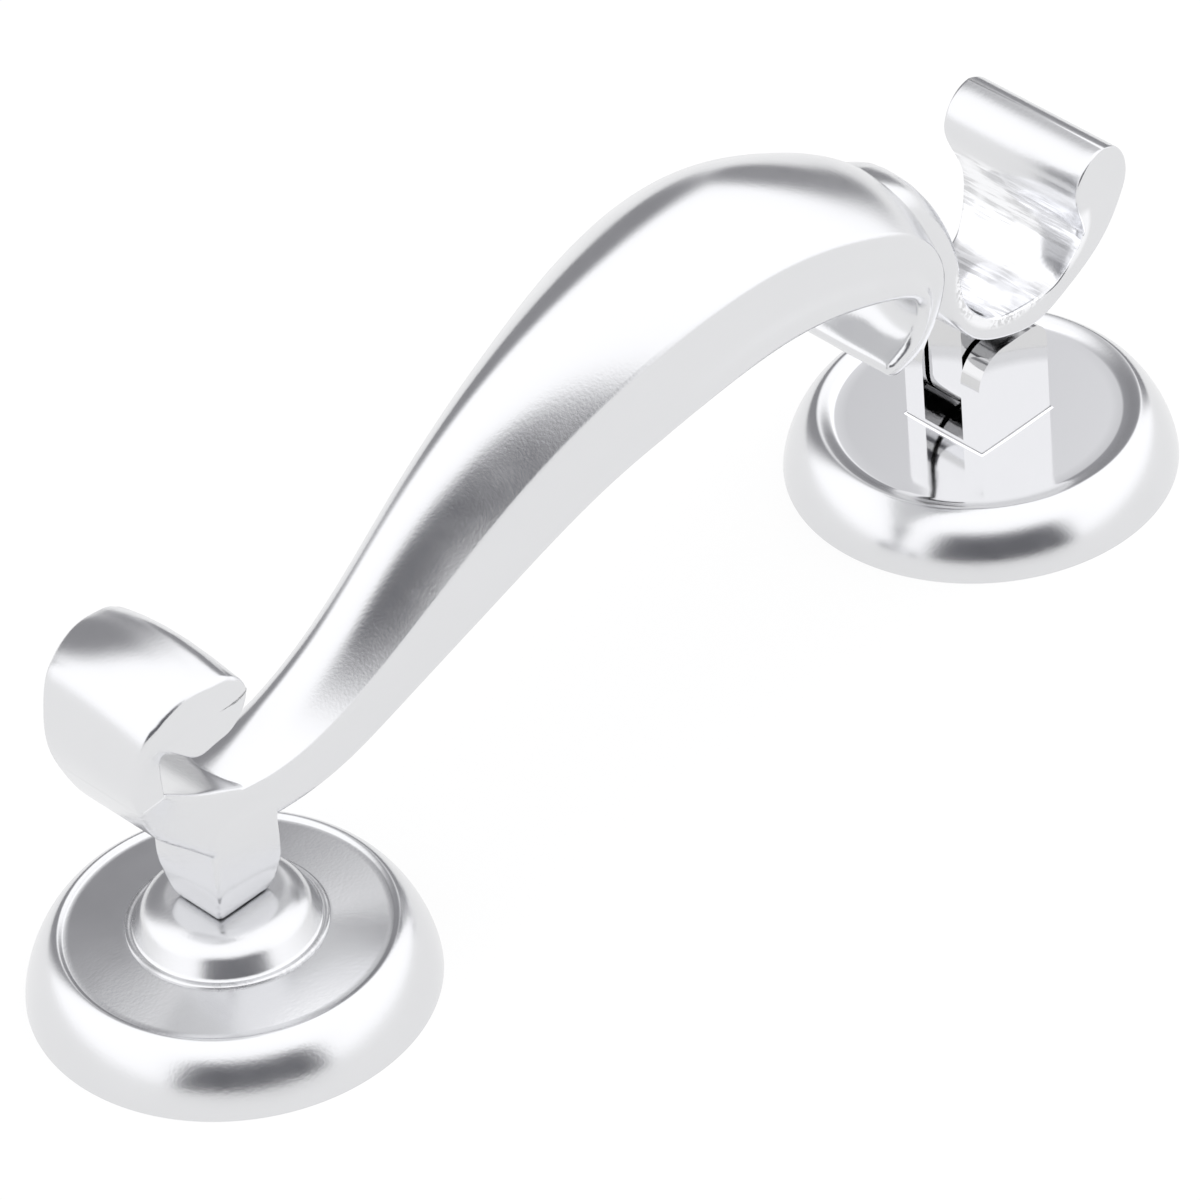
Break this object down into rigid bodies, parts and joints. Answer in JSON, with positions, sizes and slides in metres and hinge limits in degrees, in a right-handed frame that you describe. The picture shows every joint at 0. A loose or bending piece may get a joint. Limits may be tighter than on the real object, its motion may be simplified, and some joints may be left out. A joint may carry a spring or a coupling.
{
  "type": "door knocker",
  "caption": "Scroll door knocker: curved hooded arm with a curl at each end, hinged in a clevis on one round rose and striking a domed boss on another.",
  "frame": {"origin": "centre of the hinge rose's flat back, at the mouth of its bolt thread", "axes": "+X along the door from the hinge rose to the striking rose (down the door in use), +Y along the hinge pin, +Z straight out of the door"},
  "size_m": [0.205, 0.057, 0.079],
  "materials": {
    "satin_casting": "satin chrome plate on brass casting",
    "bright_clevis": "polished chrome plate",
    "hinge_rose_plate": "satin chrome rim round a polished face",
    "upper_scroll_plate": "satin chrome outside, part-polished inside the curl",
    "fixing_steel": "zinc-plated steel",
    "pin_steel": "stainless steel"
  },
  "bodies": {
    "root": {"hinge_rose": "hinge_rose_plate", "clevis": "bright_clevis", "hinge_pin": "pin_steel", "hinge_washer": "fixing_steel", "hinge_nut": "fixing_steel", "strike_rose": "satin_casting", "strike_boss": "satin_casting", "strike_washer": "fixing_steel", "strike_nut": "fixing_steel"},
    "knocker": {"knocker_arm": "satin_casting", "lower_scroll": "satin_casting", "upper_scroll": "upper_scroll_plate", "hinge_tongue": "bright_clevis", "seam_dowel": "pin_steel", "neck_dowel": "pin_steel"}
  },
  "joints": [
    {"name": "knocker_hinge", "type": "hinge", "parent": "root", "child": "knocker", "pos_m": [0, 0, 0.0175], "axis": [0, -1, 0], "range_deg": [0, 70]}
  ]
}
